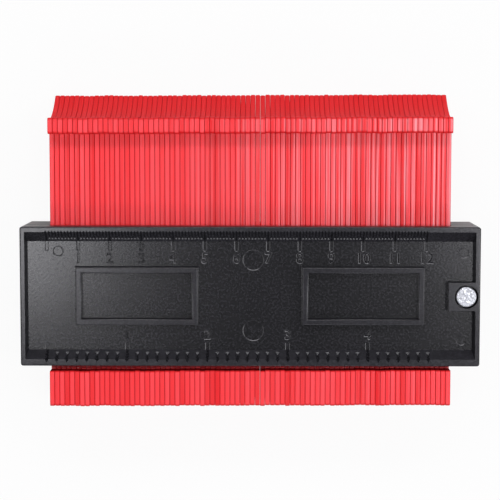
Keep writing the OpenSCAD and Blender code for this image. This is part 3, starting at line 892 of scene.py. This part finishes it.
def outward(mesh):
    """Welds a cutter and turns its faces out. The font's figures have faces turned either way, and then the
    boolean's result changes from run to run."""
    built = bmesh.new()
    built.from_mesh(mesh)
    bmesh.ops.remove_doubles(built, verts=built.verts, dist=FINE)
    bmesh.ops.recalc_face_normals(built, faces=built.faces)
    if built.calc_volume(signed=True) < 0:
        bmesh.ops.reverse_faces(built, faces=built.faces)
    built.to_mesh(mesh)
    built.free()
    return mesh


def raised_edge(edge, of_boss):
    """True for a sharp edge of the boss or else of the two frames."""
    middle = (edge.verts[0].co + edge.verts[1].co) / 2
    inside = abs(middle.y) < RAISED_WITHIN and middle.z > FLOOR_Z + RAISED_OVER
    return inside and (middle.x > BOSS_FROM) == of_boss and edge_turn(edge) > RAISED_TURN


class GAUGE_OT_body(bpy.types.Operator):
    """Build the two shells, with rounded edges, sunk ticks, figures and pin marks"""
    bl_idname = "gauge.body"
    bl_label = "Body shells"

    def execute(self, context):
        settings = context.scene.gauge_body
        material = moulded_black_abs()
        self.front(settings, material)
        self.rear(settings, material)
        return {"FINISHED"}

    def front(self, settings, material):
        built = merged_copy("front_shell")
        shape_grooves(built)
        flatten_shading(built)
        frame_width = settings.edge * FRAME_ROUNDING
        round_edges(built, lambda edge: raised_edge(edge, of_boss=False), width=frame_width, segments=5)
        round_edges(built, lambda edge: raised_edge(edge, of_boss=True), width=settings.edge, segments=4)
        piece = new_piece("front_shell_moulding", built, material, degrees=None)
        self.engrave(piece, settings)
        settle(piece, "body", "body_plastic", "front_shell")

    def engrave(self, piece, settings):
        """Fills the plain ticks and sinks flared ones, the figures and the pin marks."""
        plugs, cutters = [], []
        zero = -settings.scale_zero
        for scale, height in ((CM_SCALE, settings.cm_height), (INCH_SCALE, settings.inch_height)):
            for number in range(scale.last + 1):
                x = zero + number * scale.pitch * MM
                plugs.append(tick_plug(x, scale.side, *scale.plug))
                wall = STEEP_WALL if number in scale.steep_ticks else SUNK_WALL
                cutters.append(tick_cutter(x, scale.side, *scale.tick, wall))
                if number:
                    steep = number in scale.steep_figures
                    cutters.extend(figure_cutters(str(number), height, x, scale.base, steep))
        large = settings.pin_mark / 2
        for x, y, share, step in PIN_MARKS:
            cutters.append(pin_cutter(x * MM, y * MM, large * share, settings.pin_depth, step * MM))
        self.combine(piece, plugs, "UNION")
        self.combine(piece, cutters, "DIFFERENCE")

    def combine(self, piece, solids, operation):
        """Adds the solids to the piece or cuts them from it."""
        joined = bmesh.new()
        for mesh in solids:
            joined.from_mesh(outward(mesh))
        for face in joined.faces:
            face.smooth = False
        mesh = bpy.data.meshes.new("solids")
        joined.to_mesh(mesh)
        joined.free()
        other = bpy.data.objects.new("solids", mesh)
        bpy.context.scene.collection.objects.link(other)
        change = piece.modifiers.new("change", "BOOLEAN")
        change.operation = operation
        change.solver = "EXACT"
        change.use_self = True
        change.object = other
        result = applied(piece)
        bpy.data.objects.remove(other)
        if len(result.polygons) < SHELL_LEAST:
            raise RuntimeError("the shell was lost in " + operation)
        piece.data = result

    def rear(self, settings, material):
        built = merged_copy("rear_shell")

        def form_edge(edge):
            shortest = 0.5 * MM
            return edge_turn(edge) > FORM_TURN and edge.calc_length() > shortest

        round_edges(built, form_edge, width=settings.edge * REAR_ROUNDING, segments=2)
        piece = new_piece("rear_shell_moulding", built, material)
        settle(piece, "body", "body_plastic", "rear_shell")


class GAUGE_OT_magnet(bpy.types.Operator):
    """Build the storage magnet"""
    bl_idname = "gauge.magnet"
    bl_label = "Magnet"

    def execute(self, context):
        built = merged_copy("magnet_disc")
        round_edges(built, sharper_than(30), width=0.12 * MM, segments=3)
        piece = new_piece("magnet", built, nickel_plate(), degrees=30)
        settle(piece, "body", "magnet_plating", "magnet_disc")
        return {"FINISHED"}


class GAUGE_OT_screws(bpy.types.Operator):
    """Build the four case screws"""
    bl_idname = "gauge.screws"
    bl_label = "Screws"

    def execute(self, context):
        material = zinc_plated_steel()
        for node in SCREWS:
            built = merged_copy(node)
            round_edges(built, sharper_than(40), width=0.1 * MM, segments=2)
            piece = new_piece("screw_" + node[-1], built, material, degrees=30)
            settle(piece, "body", "screw_steel", node)
        return {"FINISHED"}


class GAUGE_OT_pads(bpy.types.Operator):
    """Build the four friction strips"""
    bl_idname = "gauge.pads"
    bl_label = "Friction strips"

    def execute(self, context):
        material = closed_cell_foam()
        for node in PADS:
            built = merged_copy(node)
            round_edges(built, sharper_than(40), width=0.25 * MM, segments=3)
            piece = new_piece(node.replace("_pad", "_strip"), built, material, degrees=40)
            settle(piece, "body", "pad_foam", node)
        return {"FINISHED"}


# Stage

# Lamps: name, place, width and height in metres, the setting that gives the power, and how many times that is
LAMPS = (
    ("left_softbox", (-0.258, -0.03, 0.935), 0.16, 0.2, "key", 1.0),
    ("right_softbox", (0.335, -0.02, 0.94), 0.16, 0.2, "fill", 1.0),
    ("low_strip", (0.0, -0.75, 0.62), 1.0, 0.16, "strip", 1.0),
    ("left_fill", (-0.85, -0.05, 0.6), 1.2, 0.4, "side", 1.0),
    ("right_fill", (0.85, -0.05, 0.6), 1.2, 0.4, "side", 2.1),
    ("top_strip", (0.0, 0.70, 0.66), 1.0, 0.2, "top", 1.0),
)

# Where the lamps point, and their slightly cool light
LAMP_TARGET = (0, 0, 0.02)
LAMP_COLOUR = (0.965, 0.96, 1.0)

# Radius of the paper, out to the horizon
PAPER_RADIUS = 60.0

# The photo's view: tilt, pan and roll in degrees, the camera's place in millimetres, the focal length and the frame's
# width in pixels, and the sensor's width in millimetres
CAMERA_TURNS = (5.14, -0.336, -0.079)
CAMERA_PLACE = (3.0, 60.8, 535.3)
FOCAL_PIXELS, FRAME_PIXELS = 1635, 500
SENSOR = 36.0


def softbox(name, place, width, height, power):
    """A rectangular lamp that faces the gauge."""
    lamp = bpy.data.lights.new(name, "AREA")
    lamp.shape = "RECTANGLE"
    lamp.size, lamp.size_y = width, height
    lamp.energy = power
    lamp.color = LAMP_COLOUR
    holder = bpy.data.objects.new(name, lamp)
    bpy.context.scene.collection.objects.link(holder)
    holder.location = place
    holder.rotation_euler = (Vector(LAMP_TARGET) - Vector(place)).to_track_quat("-Z", "Y").to_euler()


class GAUGE_OT_stage(bpy.types.Operator):
    """Build the paper floor, the studio light and the camera"""
    bl_idname = "gauge.stage"
    bl_label = "Stage"

    def execute(self, context):
        settings = context.scene.gauge_stage
        self.floor(CAD_BOX[0][2] - 0.05 * MM)
        self.world(context.scene, settings)
        for name, place, width, height, power, times in LAMPS:
            softbox(name, place, width, height, getattr(settings, power) * times)
        self.camera(context.scene)
        context.scene.view_settings.view_transform = "Standard"
        return {"FINISHED"}

    def floor(self, level):
        """A round paper floor."""
        built = bmesh.new()
        bmesh.ops.create_circle(built, cap_ends=True, segments=64, radius=PAPER_RADIUS)
        bmesh.ops.translate(built, vec=Vector((0, 0, level)), verts=built.verts)
        return new_piece("paper_floor", built, white_paper(), degrees=60)

    def world(self, scene, settings):
        """Even light on the gauge, and white where the camera sees past the paper."""
        world = bpy.data.worlds.new("studio")
        scene.world = world
        world.use_nodes = True
        tree = world.node_tree
        path = add(tree, "ShaderNodeLightPath")
        seen = add(tree, "ShaderNodeMath", {
            0: (path, "Is Camera Ray"), 1: (path, "Is Transmission Ray")}, operation="MAXIMUM")
        level = add(tree, "ShaderNodeMapRange", {
            "Value": (seen, "Value"), "To Min": settings.world, "To Max": 1.0})
        connect(tree, tree.nodes["Background"], {"Color": (1.0, 1.0, 1.0, 1.0), "Strength": (level, "Result")})

    def camera(self, scene):
        tilt, pan, roll = (math.radians(angle) for angle in CAMERA_TURNS)
        turn = Matrix.Rotation(roll, 3, "Z") @ Matrix.Rotation(pan, 3, "Y") @ Matrix.Rotation(tilt, 3, "X")
        lens = bpy.data.cameras.new("camera")
        lens.sensor_width = SENSOR
        lens.lens = FOCAL_PIXELS / FRAME_PIXELS * SENSOR
        lens.clip_start, lens.clip_end = 0.01, 50.0
        camera = bpy.data.objects.new("camera", lens)
        scene.collection.objects.link(camera)
        camera.matrix_world = Matrix.Translation(Vector(CAMERA_PLACE) * MM) @ turn.transposed().to_4x4()
        scene.camera = camera


class GAUGE_PT_panel(bpy.types.Panel):
    """Lists the gauge's pieces"""
    bl_idname = "GAUGE_PT_panel"
    bl_label = "Contour Gauge"
    bl_space_type = "VIEW_3D"
    bl_region_type = "UI"
    bl_category = "Contour Gauge"

    def draw(self, context):
        for step in OPERATORS:
            self.layout.operator(step.bl_idname)
        for group in SETTINGS:
            box = self.layout.box()
            values = getattr(context.scene, group)
            for name in values.__annotations__:
                box.prop(values, name)


SETTINGS = {
    "gauge_fingers": GaugeFingerSettings,
    "gauge_body": GaugeBodySettings,
    "gauge_metal": GaugeMetalSettings,
    "gauge_stage": GaugeStageSettings,
}
OPERATORS = (
    GAUGE_OT_body, GAUGE_OT_fingers, GAUGE_OT_magnet, GAUGE_OT_screws, GAUGE_OT_pads, GAUGE_OT_stage)


def register():
    for cls in (*SETTINGS.values(), *OPERATORS, GAUGE_PT_panel):
        bpy.utils.register_class(cls)
    for name, group in SETTINGS.items():
        setattr(bpy.types.Scene, name, PointerProperty(type=group))


def unregister():
    for name in SETTINGS:
        delattr(bpy.types.Scene, name)
    for cls in reversed((*SETTINGS.values(), *OPERATORS, GAUGE_PT_panel)):
        bpy.utils.unregister_class(cls)


def main():
    register()
    for step in OPERATORS:
        space, name = step.bl_idname.split(".")
        getattr(getattr(bpy.ops, space), name)()
    bpy.context.view_layer.update()


if __name__ == "__main__":
    main()
